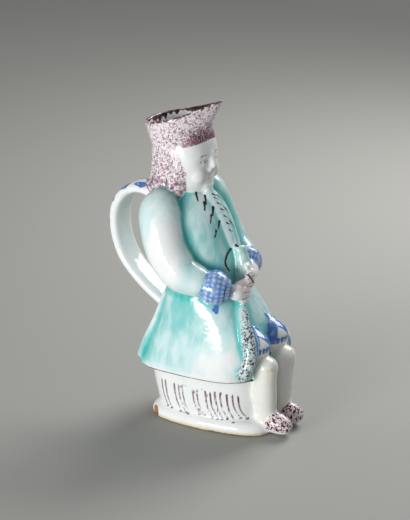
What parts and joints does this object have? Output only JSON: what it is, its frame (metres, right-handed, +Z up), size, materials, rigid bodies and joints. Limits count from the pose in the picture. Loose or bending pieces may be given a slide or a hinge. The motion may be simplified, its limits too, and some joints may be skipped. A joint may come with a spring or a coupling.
{
  "type": "figural jug",
  "caption": "Glazed pottery toby jug: a seated man in a long coat whose open tricorne hat is the mouth and spout, with a strap handle at his back.",
  "frame": {"origin": "middle of the flat underside, where the jug stands", "axes": "+Z up through the hat, the man faces -Y with the handle towards +Y, his left hand is towards +X"},
  "size_m": [0.1179, 0.1842, 0.28],
  "materials": {
    "tin_glaze": "glossy white tin glaze, hand painted"
  },
  "bodies": {
    "root": {"jug": "tin_glaze"}
  },
  "joints": []
}
